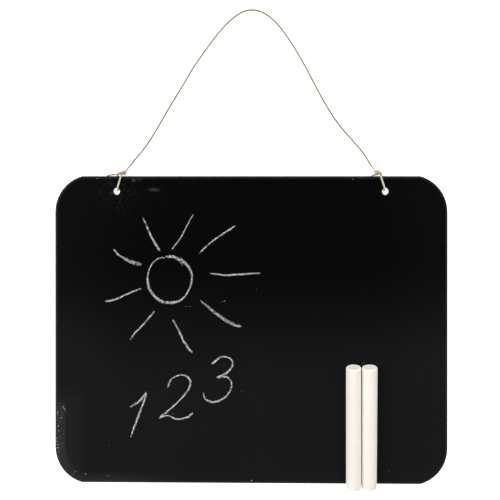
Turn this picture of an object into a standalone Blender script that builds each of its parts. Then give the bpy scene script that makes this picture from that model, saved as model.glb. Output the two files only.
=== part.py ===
# Hanging chalkboard: a thin black panel with rounded corners, a cord tied through two holes, two sticks of chalk.
# It lies on its back. X runs to the right, Y to the board's top edge, Z up out of the writing face.
# The origin is under the middle of the board, on the surface that it lies on.

import math

import bmesh
import bpy
from mathutils import Matrix, Vector

# Board panel
board_width = 0.265
board_height = 0.2075
board_thickness = 0.003
corner_radius = 0.025
corner_trim = 0.00095  # how far the top and bottom edges cut into the full round of a corner
front_easing = 0.001  # rounding of the writing face's rim
back_easing = 0.0005
corner_steps = 10
easing_steps = 3

# Hanging holes
hole_diameter = 0.0049
hole_spacing = 0.1817
hole_drop = 0.0103  # from the top edge to the middle of a hole
hole_easing = 0.0003
hole_sides = 32

# Cord
cord_diameter = 0.0012
seat_gap = 0.0003  # between pieces that touch
cord_samples = 78
tie_samples = 80
cord_end_share = 0.6  # how thick the arch's tapered tips are, so that they can turn at the knots

# Knots, each a hitch round the standing part of the cord, just beyond the board's top edge.
# Their places run inboard from where the front strand meets the top edge, beyond that edge, and up.
left_strand_inboard = 0.0034  # how far inboard of the hole's middle the front strand meets the top edge
right_strand_inboard = 0.0037
left_hole_inboard = 0.0013  # and how far inboard of it the strand goes through the hole
right_hole_inboard = 0.0013
left_knot_inboard = 0.0009
right_knot_inboard = 0.0014
knot_beyond = 0.0028
knot_height = 0.00355
swing_inboard = 0.0041  # the line that the arch swings on
swing_beyond = 0.0064
swing_height = 0.0016
swing_gap = 0.0005  # between a knot and the tip of the arch, which turns there
knot_straight = 0.0014  # how far the standing part runs straight past the middle of the knot
arch_lead = 0.0048  # how far the arch runs out of a knot while it comes down
arch_lead_shares = ((0.25, 0.45), (0.55, 0.88), (1.0, 1.0))  # along the lead, and of the way down
return_lead_shares = (0.3, 0.65)  # places of the strand under the board on its way back to the edge
wrap_gap = 0.00056  # clear space between the wraps and the cord inside them
wrap_pitch = 0.00175
wrap_start = -0.0016  # along the standing part, from the middle of the knot
wrap_points_per_turn = 8
left_wrap_turns = 1.75
right_wrap_turns = 1.0

# Sticks of chalk
chalk_length = 0.0793
left_chalk_top_diameter = 0.0102
left_chalk_bottom_diameter = 0.0099
right_chalk_top_diameter = 0.0102
right_chalk_bottom_diameter = 0.0098
chalk_rounding = 0.0007
chalk_gap = 0.0004  # between the two sticks at their thick ends
chalk_edge_margin = 0.0018  # from the board's bottom edge
chalk_side_margin = 0.0536  # from the board's right edge to the right stick's axis
chalk_sides = 40
chalk_rounding_steps = 3

# How the board lies: its foot and the two strands behind it touch the surface
cord_radius = cord_diameter / 2
underside_at_hole = cord_diameter + seat_gap
rest_line_y = -(board_height / 2 - back_easing)
hole_y = board_height / 2 - hole_drop
tilt = math.asin(underside_at_hole / (hole_y - rest_line_y))
hole_turn_y = hole_y + hole_diameter / 2 + hole_easing + seat_gap

# Free arch of the cord between the knots, in metres, seen from above, left to right
arch_route = [
    (-0.0794, 0.1150),
    (-0.0745, 0.1206),
    (-0.0689, 0.1284),
    (-0.0639, 0.1366),
    (-0.0591, 0.1449),
    (-0.0542, 0.1532),
    (-0.0492, 0.1614),
    (-0.0443, 0.1696),
    (-0.0394, 0.1779),
    (-0.0339, 0.1858),
    (-0.0283, 0.1936),
    (-0.0224, 0.2012),
    (-0.0161, 0.2083),
    (-0.0105, 0.2131),
    (-0.0050, 0.2163),
    (0.0005, 0.2174),
    (0.0060, 0.2166),
    (0.0115, 0.2137),
    (0.0171, 0.2089),
    (0.0232, 0.2015),
    (0.0286, 0.1935),
    (0.0335, 0.1852),
    (0.0382, 0.1769),
    (0.0426, 0.1684),
    (0.0471, 0.1598),
    (0.0518, 0.1515),
    (0.0569, 0.1434),
    (0.0627, 0.1357),
    (0.0690, 0.1285),
    (0.0753, 0.1212),
    (0.0794, 0.1153),
]


def clear_scene():
    for old in list(bpy.data.objects):
        bpy.data.objects.remove(old, do_unlink=True)


def material(name, colour, roughness, metallic=0.0):
    made = bpy.data.materials.new(name)
    made.use_nodes = True
    shader = made.node_tree.nodes["Principled BSDF"]
    shader.inputs["Base Color"].default_value = (*colour, 1.0)
    shader.inputs["Roughness"].default_value = roughness
    shader.inputs["Metallic"].default_value = metallic
    return made


def place(data, name, finish, location, parent=None):
    piece = bpy.data.objects.new(name, data)
    bpy.context.scene.collection.objects.link(piece)
    piece.location = location
    piece.parent = parent
    data.materials.append(finish)
    return piece


def panel_outline(inset):
    """The board's outline, drawn in by an inset: four arcs, cut level by the top and bottom edges."""
    half_width = board_width / 2 - inset
    half_height = board_height / 2 - inset
    radius = corner_radius - inset
    centre_x = board_width / 2 - corner_radius
    centre_y = board_height / 2 + corner_trim - corner_radius
    last_angle = math.asin((half_height - centre_y) / radius)
    corner = []
    for step in range(corner_steps + 1):
        angle = last_angle * step / corner_steps
        corner.append((centre_x + radius * math.cos(angle), centre_y + radius * math.sin(angle)))
    corner[0] = (half_width, centre_y)
    corner[-1] = (corner[-1][0], half_height)
    top_left = [(-x, y) for x, y in reversed(corner)]
    bottom_left = [(-x, -y) for x, y in corner]
    bottom_right = [(x, -y) for x, y in reversed(corner)]
    return corner + top_left + bottom_left + bottom_right


def panel_levels():
    """Inset and height of each ring up the board's edge, from the back face to the writing face."""
    levels = [(back_easing, 0.0), (0.0, back_easing)]
    for step in range(easing_steps + 1):
        angle = math.pi / 2 * step / easing_steps
        inset = front_easing * (1 - math.cos(angle))
        levels.append((inset, board_thickness - front_easing * (1 - math.sin(angle))))
    return levels


def skin(mesh, rings):
    """Faces between rings of points, with a flat face over each end."""
    loops = [[mesh.verts.new(point) for point in ring] for ring in rings]
    for lower, upper in zip(loops, loops[1:]):
        for index in range(len(lower)):
            after = (index + 1) % len(lower)
            mesh.faces.new((lower[index], lower[after], upper[after], upper[index]))
    mesh.faces.new(list(reversed(loops[0])))
    mesh.faces.new(loops[-1])
    bmesh.ops.recalc_face_normals(mesh, faces=mesh.faces)


def mesh_from(name, rings, sharp_angle):
    mesh = bmesh.new()
    skin(mesh, rings)
    data = bpy.data.meshes.new(name)
    mesh.to_mesh(data)
    mesh.free()
    data.shade_smooth()
    data.set_sharp_from_angle(angle=sharp_angle)
    return data


def circle(radius, height, sides):
    turn = 2 * math.pi / sides
    return [Vector((radius * math.cos(i * turn), radius * math.sin(i * turn), height)) for i in range(sides)]


def hole_cutter(side, parent):
    """A drill with a flare at both faces, which eases the rims of the hole."""
    radius = hole_diameter / 2
    overrun = hole_easing
    heights = [
        (radius + hole_easing + overrun, -overrun),
        (radius, hole_easing),
        (radius, board_thickness - hole_easing),
        (radius + hole_easing + overrun, board_thickness + overrun),
    ]
    rings = [circle(ring_radius, height, hole_sides) for ring_radius, height in heights]
    data = mesh_from("hole_drill", rings, math.radians(30))
    cutter = place(data, "hole_drill", board_finish, (side * hole_spacing / 2, hole_y, 0), parent)
    cutter.hide_render = True
    cutter.display_type = "WIRE"
    return cutter


def make_board(parent):
    rings = [[Vector((x, y, height)) for x, y in panel_outline(inset)] for inset, height in panel_levels()]
    data = mesh_from("board_panel", rings, math.radians(35))
    panel = place(data, "board_panel", board_finish, (0, 0, 0), parent)
    for side in (-1, 1):
        cut = panel.modifiers.new("hanging hole", "BOOLEAN")
        cut.operation = "DIFFERENCE"
        cut.solver = "EXACT"
        cut.object = hole_cutter(side, parent)
    return panel


def make_chalk(name, axis_x, top_diameter, bottom_diameter, parent):
    """A moulded stick: slightly thicker at its top end, both ends rounded, lying along Y."""
    half_length = chalk_length / 2
    top_radius = top_diameter / 2
    bottom_radius = bottom_diameter / 2
    profile = []
    for step in range(chalk_rounding_steps + 1):
        angle = math.pi / 2 * step / chalk_rounding_steps
        drawn_in = chalk_rounding * (1 - math.sin(angle))
        profile.append((bottom_radius - drawn_in, -half_length + chalk_rounding * (1 - math.cos(angle))))
    for step in reversed(range(chalk_rounding_steps + 1)):
        angle = math.pi / 2 * step / chalk_rounding_steps
        drawn_in = chalk_rounding * (1 - math.sin(angle))
        profile.append((top_radius - drawn_in, half_length - chalk_rounding * (1 - math.cos(angle))))
    upright = Matrix.Rotation(-math.pi / 2, 3, "X")
    rings = [[upright @ point for point in circle(radius, height, chalk_sides)] for radius, height in profile]
    data = mesh_from(name, rings, math.radians(40))
    middle_radius = (top_radius + bottom_radius) / 2
    middle_y = -board_height / 2 + chalk_edge_margin + half_length
    height = board_thickness + seat_gap + middle_radius
    stick = place(data, name, chalk_finish, (axis_x, middle_y, height), parent)
    stick.rotation_euler = (math.atan((top_radius - bottom_radius) / chalk_length), 0, 0)
    return stick


def smooth_line(points, count):
    """Points evenly spread along a Catmull-Rom curve through the given points."""
    knots = [Vector(point) for point in points]
    padded = [knots[0] * 2 - knots[1]] + knots + [knots[-1] * 2 - knots[-2]]
    fine = []
    curve_steps = 24
    for before, start, end, after in zip(padded, padded[1:], padded[2:], padded[3:]):
        for step in range(curve_steps):
            share = step / curve_steps
            fine.append(
                0.5 * (
                    2 * start
                    + (end - before) * share
                    + (2 * before - 5 * start + 4 * end - after) * share**2
                    + (3 * start - before - 3 * end + after) * share**3
                )
            )
    fine.append(knots[-1])
    along = [0.0]
    for first, second in zip(fine, fine[1:]):
        along.append(along[-1] + (second - first).length)
    line = []
    place_in_fine = 0
    for index in range(count):
        wanted = along[-1] * index / (count - 1)
        while place_in_fine < len(fine) - 2 and along[place_in_fine + 1] < wanted:
            place_in_fine += 1
        stretch = along[place_in_fine + 1] - along[place_in_fine]
        share = (wanted - along[place_in_fine]) / stretch
        line.append(fine[place_in_fine].lerp(fine[place_in_fine + 1], share))
    return line


def least_gap(line, diameter):
    """The least clear space between parts of a tube that aren't neighbours along it."""
    along = [0.0]
    for first, second in zip(line, line[1:]):
        along.append(along[-1] + (second - first).length)
    neighbour_diameters = 3
    gap = math.inf
    for i in range(len(line)):
        for j in range(i + 1, len(line) - 1):
            if along[j] - along[i] < neighbour_diameters * diameter:
                continue
            span = line[j + 1] - line[j]
            share = min(max((line[i] - line[j]).dot(span) / span.length_squared, 0), 1)
            gap = min(gap, (line[i] - line[j] - span * share).length - diameter)
    return gap


def make_cord(name, line, origin, end_share=1.0):
    data = bpy.data.curves.new(name, "CURVE")
    data.dimensions = "3D"
    data.bevel_depth = cord_radius
    data.bevel_resolution = 2
    data.use_fill_caps = True
    spline = data.splines.new("POLY")
    spline.points.add(len(line) - 1)
    for point, place_on_line in zip(spline.points, line):
        point.co = (*(place_on_line - origin), 1)
    spline.points[0].radius = end_share
    spline.points[-1].radius = end_share
    return place(data, name, cord_finish, origin)


# From the board's underside round the far side of the knot to its first wrap: inboard, beyond, up
left_return_route = [
    (-0.0022, -0.0010, 0.0006),
    (-0.0022, 0.0006, 0.0006),
    (-0.0021, 0.0020, 0.0006),
    (-0.0016, 0.0034, 0.00062),
    (-0.0007, 0.0043, 0.00072),
    (0.0004, 0.0043, 0.0010),
]
right_return_route = [
    (-0.0017, -0.0010, 0.0006),
    (-0.0017, 0.0006, 0.0006),
    (-0.0016, 0.0020, 0.0006),
    (-0.0011, 0.0034, 0.00062),
    (-0.0002, 0.0043, 0.00072),
    (0.0009, 0.0043, 0.0010),
]

# Loose ends, from the last wrap: inboard, beyond, up
left_tail_route = [
    (-0.0021, 0.0026, 0.0031),
    (-0.0034, 0.0021, 0.0020),
    (-0.0050, 0.0017, 0.0012),
    (-0.0070, 0.0014, 0.00075),
    (-0.0090, 0.0010, 0.0006),
    (-0.0109, 0.0005, 0.0006),
]
right_tail_route = [
    (0.0016, 0.0014, 0.00145),
    (0.0024, 0.0010, 0.0010),
    (0.0033, 0.00085, 0.00068),
    (0.0041, 0.0006, 0.0006),
    (0.0048, 0.0001, 0.0006),
]

left_tie = {
    "strand": left_strand_inboard,
    "hole": left_hole_inboard,
    "knot": left_knot_inboard,
    "turns": left_wrap_turns,
    "return": left_return_route,
    "tail": left_tail_route,
}
right_tie = {
    "strand": right_strand_inboard,
    "hole": right_hole_inboard,
    "knot": right_knot_inboard,
    "turns": right_wrap_turns,
    "return": right_return_route,
    "tail": right_tail_route,
}


def underside(y):
    """Height of the board's back face above the surface that the board lies on."""
    return (y - rest_line_y) * math.tan(tilt)


def front_place(tie, y, height):
    """A place on the front strand, which runs straight from the knot to the far side of its hole."""
    edge_y = board_height / 2
    share = (edge_y - y) / (edge_y - hole_turn_y)
    inboard = tie["strand"] + (tie["hole"] - tie["strand"]) * share
    return Vector((hole_spacing / 2 - inboard, y, height))


def at_knot(tie, place_at_knot):
    """A place by a knot on the right, given inboard of its strand, beyond the top edge and up."""
    inward, beyond, up = place_at_knot
    return Vector((hole_spacing / 2 - tie["strand"] - inward, board_height / 2 + beyond, up))


def mirrored(line, side):
    return [Vector((side * point.x, point.y, point.z)) for point in line]


def swing_end(tie):
    return at_knot(tie, (swing_inboard, swing_beyond, swing_height))


def knot_middle(tie):
    return at_knot(tie, (tie["knot"], knot_beyond, knot_height))


def standing_direction(tie):
    """The way that the standing part runs through a knot, from the arch to the board."""
    return (knot_middle(tie) - swing_end(tie)).normalized()


def wraps(tie):
    """Turns of the loose end round the standing part."""
    middle = knot_middle(tie)
    along = standing_direction(tie)
    up = (Vector((0, 0, 1)) - along * along.z).normalized()
    away = up.cross(along)
    radius = cord_diameter + wrap_gap
    points = []
    for step in range(round(tie["turns"] * wrap_points_per_turn) + 1):
        turned = step / wrap_points_per_turn
        angle = math.pi * (1 + 2 * turned)
        outward = up * math.cos(angle) + away * math.sin(angle)
        points.append(middle + along * (wrap_start + wrap_pitch * turned) + outward * radius)
    return points


def tie_route(tie):
    """One tied end of the cord, for the right-hand hole, from the arch to the loose end."""
    along = standing_direction(tie)
    middle = knot_middle(tie)
    edge_y = board_height / 2
    turn_radius = (board_thickness + cord_diameter) / 2 + seat_gap
    turn_height = underside(hole_y) + board_thickness / 2
    hole_x = hole_spacing / 2 - tie["hole"]
    above = board_thickness + seat_gap + cord_radius
    route = [swing_end(tie) + along * swing_gap, (swing_end(tie) + middle) / 2, middle]
    route.append(middle + along * knot_straight)
    route.append(front_place(tie, edge_y + cord_radius, underside(edge_y) + above - cord_radius))
    runs = 4
    first_y = edge_y - cord_radius
    for step in range(runs):
        y = first_y + (hole_turn_y - first_y) * step / runs
        route.append(front_place(tie, y, underside(y) + above))
    turn_steps = 6
    for step in range(turn_steps + 1):
        angle = math.pi * step / turn_steps
        y = hole_turn_y - turn_radius * math.sin(angle)
        route.append(Vector((hole_x, y, turn_height + turn_radius * math.cos(angle))))
    back_start = route[-1]
    return_points = [at_knot(tie, point) for point in tie["return"]]
    for share in return_lead_shares:
        route.append(back_start.lerp(return_points[0], share))
    route += return_points
    route += wraps(tie)
    route += [at_knot(tie, point) for point in tie["tail"]]
    return route


def make_tie(name, side, tie):
    line = smooth_line(tie_route(tie), tie_samples)
    for point in line:
        point.z = max(point.z, cord_radius)
    print(f"{name}: least gap to itself {least_gap(line, cord_diameter) * 1000:.2f} mm")
    origin = Vector((side * hole_spacing / 2, hole_y, underside(hole_y)))
    return make_cord(name, mirrored(line, side), origin)


def make_arch():
    """The free stretch of the cord, lying on the surface, with its tips on the line that it swings on."""
    route = [Vector((x, y, cord_radius)) for x, y in arch_route]
    for side, tie in ((-1, left_tie), (1, right_tie)):
        tip = mirrored([swing_end(tie)], side)[0]
        first = route[0] if side < 0 else route[-1]
        out = Vector((first.x - tip.x, first.y - tip.y, 0)).normalized()
        lead = [tip]
        for share, fall_share in arch_lead_shares:
            point = tip + out * arch_lead * share
            point.z = swing_height + (cord_radius - swing_height) * fall_share
            lead.append(point)
        if side < 0:
            route = lead + route
        else:
            route += reversed(lead)
    line = smooth_line(route, cord_samples)
    for point in line:
        point.z = max(point.z, cord_radius)
    length = sum((second - first).length for first, second in zip(line, line[1:]))
    print(f"hanging_cord: {length * 1000:.0f} mm between the knots")
    origin = Vector((0, board_height / 2 + swing_beyond, swing_height))
    return make_cord("hanging_cord", line, origin, cord_end_share)


clear_scene()
board_finish = material("black writing coat", (0.011, 0.011, 0.012), 0.55)
cord_finish = material("natural cord", (0.52, 0.44, 0.31), 0.9)
chalk_finish = material("white chalk", (0.86, 0.83, 0.77), 0.95)

board_rest = bpy.data.objects.new("board_rest", None)
bpy.context.scene.collection.objects.link(board_rest)
board_rest.location = (0, rest_line_y, 0)
board_rest.rotation_euler = (tilt, 0, 0)

on_board = bpy.data.objects.new("on_board", None)
bpy.context.scene.collection.objects.link(on_board)
on_board.parent = board_rest
on_board.location = (0, -rest_line_y, 0)

make_board(on_board)
make_arch()
make_tie("left_tie_knot", -1, left_tie)
make_tie("right_tie_knot", 1, right_tie)

right_axis_x = board_width / 2 - chalk_side_margin
left_axis_x = right_axis_x - right_chalk_top_diameter / 2 - chalk_gap - left_chalk_top_diameter / 2
make_chalk("chalk_stick_left", left_axis_x, left_chalk_top_diameter, left_chalk_bottom_diameter, on_board)
make_chalk("chalk_stick_right", right_axis_x, right_chalk_top_diameter, right_chalk_bottom_diameter, on_board)
bpy.context.view_layer.update()
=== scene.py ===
import math

import bpy
from mathutils import Matrix, Vector, noise


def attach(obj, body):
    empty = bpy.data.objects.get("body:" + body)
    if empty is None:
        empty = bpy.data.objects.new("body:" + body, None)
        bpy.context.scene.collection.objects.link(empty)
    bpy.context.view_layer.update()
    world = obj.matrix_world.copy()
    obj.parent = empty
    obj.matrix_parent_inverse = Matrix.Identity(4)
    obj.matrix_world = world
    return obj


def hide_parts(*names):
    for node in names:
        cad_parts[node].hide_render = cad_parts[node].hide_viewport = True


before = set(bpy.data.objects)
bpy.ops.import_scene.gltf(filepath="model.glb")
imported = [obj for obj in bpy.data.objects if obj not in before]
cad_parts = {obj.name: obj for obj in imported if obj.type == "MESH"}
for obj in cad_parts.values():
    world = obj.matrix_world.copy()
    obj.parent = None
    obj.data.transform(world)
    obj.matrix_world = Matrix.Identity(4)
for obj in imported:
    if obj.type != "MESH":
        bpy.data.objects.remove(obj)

print("frame loaded")
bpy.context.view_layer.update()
scene = bpy.context.scene
scene.view_settings.view_transform = "Standard"

# Camera: close above the board, square to it but for a slight turn, framed low as in the photo
camera = {
    "over": (0.00239, 0.09901),  # the point that it stands above
    "height": 0.3238,
    "faceHeight": 0.0038,  # middle of the writing face
    "photoWidth": 0.33772,  # what the picture spans at that height
    "photoPixels": 500,
    "shift": -0.14,
    "turn": (0.371, 0.511, 0.006),  # degrees
    "sensor": 36,  # mm
    "clip": (0.01, 30),
}


def makeCamera():
    data = bpy.data.cameras.new("camera")
    data.sensor_width = camera["sensor"]
    data.lens = camera["sensor"] * (camera["height"] - camera["faceHeight"]) / camera["photoWidth"]
    data.shift_y = camera["shift"]
    data.clip_start, data.clip_end = camera["clip"]
    made = bpy.data.objects.new("camera", data)
    scene.collection.objects.link(made)
    made.location = (*camera["over"], camera["height"])
    made.rotation_euler = [math.radians(angle) for angle in camera["turn"]]
    scene.camera = made


makeCamera()
print("camera placed")


# Nodes: put adds one with its settings and inputs, take also gives its first output, and calc and
# vectorCalc do sums on sockets
def put(tree, kind, inputs=None, **settings):
    node = tree.nodes.new(kind)
    for setting, value in settings.items():
        setattr(node, setting, value)
    for key, value in (inputs or {}).items():
        if isinstance(value, bpy.types.NodeSocket):
            tree.links.new(value, node.inputs[key])
        else:
            node.inputs[key].default_value = value
    return node


def take(tree, kind, inputs=None, **settings):
    return put(tree, kind, inputs, **settings).outputs[0]


def calc(tree, operation, *values, clamp=False):
    return take(tree, "ShaderNodeMath", dict(enumerate(values)), operation=operation, use_clamp=clamp)


def vectorCalc(tree, operation, *values, scale=None):
    node = put(tree, "ShaderNodeVectorMath", dict(enumerate(values)), operation=operation)
    if scale is not None:
        if isinstance(scale, bpy.types.NodeSocket):
            tree.links.new(scale, node.inputs["Scale"])
        else:
            node.inputs["Scale"].default_value = scale
    single = operation in ("LENGTH", "DISTANCE", "DOT_PRODUCT")
    return node.outputs["Value"] if single else node.outputs["Vector"]


def product(tree, first, *others):
    for other in others:
        first = calc(tree, "MULTIPLY", first, other)
    return first


def gained(tree, value, gain, offset):
    return calc(tree, "ADD", calc(tree, "MULTIPLY", value, gain), offset)


def weighed(tree, first, second, shares):
    return calc(tree, "ADD", product(tree, first, shares[0]), product(tree, second, shares[1]))


def combine(tree, x=0.0, y=0.0, z=0.0):
    return take(tree, "ShaderNodeCombineXYZ", {0: x, 1: y, 2: z})


def split(tree, vector):
    return put(tree, "ShaderNodeSeparateXYZ", {0: vector}).outputs


def smoothStep(tree, value, start, end, low=0.0, high=1.0):
    # from low at start to high at end, and level beyond both
    node = put(tree, "ShaderNodeMapRange", {0: value, 1: start, 2: end, 3: low, 4: high})
    node.interpolation_type = "SMOOTHSTEP"
    return node.outputs[0]


def noiseAt(tree, place, size, detail=2.0, roughness=0.5):
    # size is that of the noise's blotches, in metres
    scale = calc(tree, "DIVIDE", 1.0, size) if isinstance(size, bpy.types.NodeSocket) else 1 / size
    inputs = {"Vector": place, "Scale": scale, "Detail": detail, "Roughness": roughness}
    return take(tree, "ShaderNodeTexNoise", inputs)


def randomNumber(tree, low, high, seed):
    return put(tree, "FunctionNodeRandomValue", {2: low, 3: high, 8: seed}).outputs[1]


def randomVector(tree, low, high, seed):
    return take(tree, "FunctionNodeRandomValue", {0: low, 1: high, 8: seed}, data_type="FLOAT_VECTOR")


def randomTurn(tree, lean, seed):
    # turned any way round, and leant by up to lean, in radians
    angles = randomVector(tree, (-lean, -lean, 0.0), (lean, lean, 2 * math.pi), seed)
    return take(tree, "FunctionNodeEulerToRotation", {0: angles})


def capture(tree, geometry, value, kind="FLOAT"):
    node = put(tree, "GeometryNodeCaptureAttribute", {"Geometry": geometry})
    node.capture_items.new(kind, "kept")
    tree.links.new(value, node.inputs[1])
    return node.outputs[0], node.outputs[1]


def newTree(name, inputs):
    tree = bpy.data.node_groups.new(name, "GeometryNodeTree")
    tree.interface.new_socket("Geometry", in_out="INPUT", socket_type="NodeSocketGeometry")
    for label, kind in inputs:
        tree.interface.new_socket(label, in_out="INPUT", socket_type="NodeSocket" + kind)
    tree.interface.new_socket("Geometry", in_out="OUTPUT", socket_type="NodeSocketGeometry")
    return tree, tree.nodes.new("NodeGroupInput").outputs


def endTree(tree, geometry, material):
    realized = take(tree, "GeometryNodeRealizeInstances", {"Geometry": geometry})
    finished = take(tree, "GeometryNodeSetMaterial", {"Geometry": realized, "Material": material})
    tree.links.new(finished, tree.nodes.new("NodeGroupOutput").inputs[0])


def lineMesh(name, lines, widths=None):
    # several open lines as the edges of one mesh, with half the width of a stroke at each point
    data = bpy.data.meshes.new(name)
    points = [point for line in lines for point in line]
    edges = []
    start = 0
    for line in lines:
        edges += [(start + i, start + i + 1) for i in range(len(line) - 1)]
        start += len(line)
    data.from_pydata(points, edges, [])
    if widths:
        attribute = data.attributes.new("halfWidth", "FLOAT", "POINT")
        attribute.data.foreach_set("value", [width for line in widths for width in line])
    return data


def grow(name, data, tree, values, finish):
    # runs a tree on a mesh and keeps the result as a plain mesh
    made = bpy.data.objects.new(name, data)
    scene.collection.objects.link(made)
    modifier = made.modifiers.new(tree.name, "NODES")
    modifier.node_group = tree
    values = {**values, "Material": finish}
    for item in tree.interface.items_tree:
        if item.in_out == "INPUT" and item.name in values:
            modifier[item.identifier] = values[item.name]
    bpy.context.view_layer.update()
    depsgraph = bpy.context.evaluated_depsgraph_get()
    grown = bpy.data.meshes.new_from_object(made.evaluated_get(depsgraph), depsgraph=depsgraph)
    made.modifiers.remove(modifier)
    made.data = grown
    grown.name = name
    bpy.data.meshes.remove(data)
    triangles = sum(len(face.vertices) - 2 for face in grown.polygons)
    print(f"{name}: {triangles} triangles")
    return made


# Board, as it lies: its foot and the strands behind it touch the table
board = {
    "width": 0.265, "height": 0.2075, "thickness": 0.003, "backEasing": 0.0005,
    "cornerRadius": 0.025,
    "cornerTrim": 0.00095,  # how far the top and bottom edges cut into the full round of a corner
    "holeSpacing": 0.1817, "holeDrop": 0.0103, "holeDiameter": 0.0049, "holeEasing": 0.0003,
    "seatGap": 0.0003,
}
# Cord: three plies laid round one line, in the arch and on through the knots and the holes
cord = {
    "diameter": 0.0012, "lineStep": 0.0004,
    # plies: how they are laid, how unevenly they swell, and how much slimmer a loose end gets
    "plies": 3, "pitch": 0.0036, "plyRadius": 0.00030, "layRadius": 0.00030, "sides": 8, "step": 0.0003,
    "swellLength": 0.004, "swellGain": (0.24, 0.88), "thinRamp": (0.0, 0.06, 1.0, 0.88),
    "neverThin": 2.0, "seed": 3,
    # hairs: a bend of unit length, which is scaled, slipped along the cord and turned at random
    "hairs": 260, "tieHairs": 70, "hairLength": 0.0016, "hairRadius": 0.000022,
    "hairBend": {"Start": (0, 0, 0), "Middle": (0.15, 0.1, 0.55), "End": (0.55, 0.0, 0.9)},
    "hairSteps": 5, "hairSides": 3, "hairTaper": 1.15, "hairSizes": (0.35, 1.3),
    "hairSlip": 0.0006, "hairLean": 0.9, "tableGap": 0.00001,
    # knots, and the arch's ends beyond the top edge, which fall to the table over archLead
    "knotHeight": 0.00355, "swingBeyond": 0.0064, "swingHeight": 0.0016, "swingGap": 0.0002,
    "archLead": 0.0048, "leadShares": ((0.25, 0.45), (0.55, 0.88), (1.0, 1.0)),
    # the loose end's turns round the standing part, from just short of the knot's middle
    "wrapGap": 0.00006, "wrapPitch": 0.00128, "wrapStart": -0.0013, "pointsPerTurn": 8,
    # the strands on the front, through the hole and back behind the board
    "frontRuns": 4, "holeTurnSteps": 6, "returnShares": (0.3, 0.65), "holeSlant": 0.0009,
}
cordRadius = cord["diameter"] / 2
topEdge = board["height"] / 2
restLine = -(topEdge - board["backEasing"])
holeY = topEdge - board["holeDrop"]
tilt = math.asin((cord["diameter"] + board["seatGap"]) / (holeY - restLine))
holeTurnY = holeY + board["holeDiameter"] / 2 + board["holeEasing"] + board["seatGap"]

# The arch as seen from above, left to right
archRoute = [
    (-0.0794, 0.1150), (-0.0745, 0.1206), (-0.0689, 0.1284), (-0.0639, 0.1366), (-0.0591, 0.1449),
    (-0.0542, 0.1532), (-0.0492, 0.1614), (-0.0443, 0.1696), (-0.0394, 0.1779), (-0.0339, 0.1858),
    (-0.0283, 0.1936), (-0.0224, 0.2012), (-0.0161, 0.2083), (-0.0105, 0.2131), (-0.0050, 0.2163),
    (0.0005, 0.2174), (0.0060, 0.2166), (0.0115, 0.2137), (0.0171, 0.2089), (0.0232, 0.2015),
    (0.0286, 0.1935), (0.0335, 0.1852), (0.0382, 0.1769), (0.0426, 0.1684), (0.0471, 0.1598),
    (0.0518, 0.1515), (0.0569, 0.1434), (0.0627, 0.1357), (0.0690, 0.1285), (0.0753, 0.1212),
    (0.0794, 0.1153),
]
# Each tied end. strand and hole: how far inboard of its hole's middle the front strand crosses the top
# edge and goes through the hole. swing, knot, return and tail count inboard from that strand, the last
# three also beyond the top edge, and the last two also up from the table.
leftTie = {
    "side": -1, "strand": 0.0034, "hole": 0.0013, "knot": (0.0014, 0.0021), "knotStraight": 0.0008,
    "swing": 0.0047, "turns": 1.75, "thinFrom": 0.84, "seed": 5,
    "return": [
        (-0.0034, -0.0010, 0.0006), (-0.0036, 0.0003, 0.0006), (-0.0036, 0.0012, 0.0006),
        (-0.0031, 0.0019, 0.0008), (-0.0022, 0.0023, 0.0011), (-0.0010, 0.0025, 0.0014),
        (0.0004, 0.0027, 0.00165),
    ],
    "tail": [
        (-0.0008, 0.0016, 0.0037), (-0.0020, 0.0015, 0.0031), (-0.0034, 0.0013, 0.0022),
        (-0.0050, 0.0012, 0.0012), (-0.0070, 0.0011, 0.00075), (-0.0090, 0.0007, 0.0006),
        (-0.0109, 0.0002, 0.0006),
    ],
}
rightTie = {
    "side": 1, "strand": 0.0037, "hole": 0.0013, "knot": (0.0021, 0.0026), "knotStraight": 0.0012,
    "swing": 0.0049, "turns": 2.0, "thinFrom": 0.90, "seed": 8,
    "return": [
        (-0.0017, -0.0010, 0.0006), (-0.0018, 0.0005, 0.0006), (-0.0016, 0.0015, 0.00062),
        (-0.0009, 0.0024, 0.0007), (0.0002, 0.0030, 0.00085), (0.0013, 0.0032, 0.0011),
    ],
    "tail": [
        (0.0017, 0.0010, 0.0020), (0.0025, 0.0009, 0.0012), (0.0033, 0.00085, 0.00068),
        (0.0041, 0.0006, 0.0006), (0.0048, 0.0001, 0.0006),
    ],
}


def underside(y):
    return (y - restLine) * math.tan(tilt)


def faceHeight(y):
    return underside(y) + board["thickness"] / math.cos(tilt)


def smoothLine(points, step, values=None):
    # evenly spaced points along a Catmull-Rom curve, and the values of its points spread along it
    rows = [(*point, *(values[i] if values else ())) for i, point in enumerate(points)]
    padded = [[2 * a - b for a, b in zip(rows[0], rows[1])], *rows]
    padded.append([2 * a - b for a, b in zip(rows[-1], rows[-2])])
    fine = []
    curveSteps = 24
    for a, b, c, d in zip(padded, padded[1:], padded[2:], padded[3:]):
        for index in range(curveSteps):
            t = index / curveSteps
            fine.append([
                0.5 * (2 * q + (r - p) * t + (2 * p - 5 * q + 4 * r - s) * t**2
                       + (3 * q - p - 3 * r + s) * t**3)
                for p, q, r, s in zip(a, b, c, d)
            ])
    fine.append(list(rows[-1]))
    size = len(points[0])
    along = [0.0]
    for first, second in zip(fine, fine[1:]):
        along.append(along[-1] + math.dist(first[:size], second[:size]))
    count = max(2, round(along[-1] / step) + 1)
    line = []
    at = 0
    for index in range(count):
        wanted = along[-1] * index / (count - 1)
        while at < len(fine) - 2 and along[at + 1] < wanted:
            at += 1
        share = (wanted - along[at]) / (along[at + 1] - along[at])
        line.append([p + (q - p) * share for p, q in zip(fine[at], fine[at + 1])])
    return line


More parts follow.
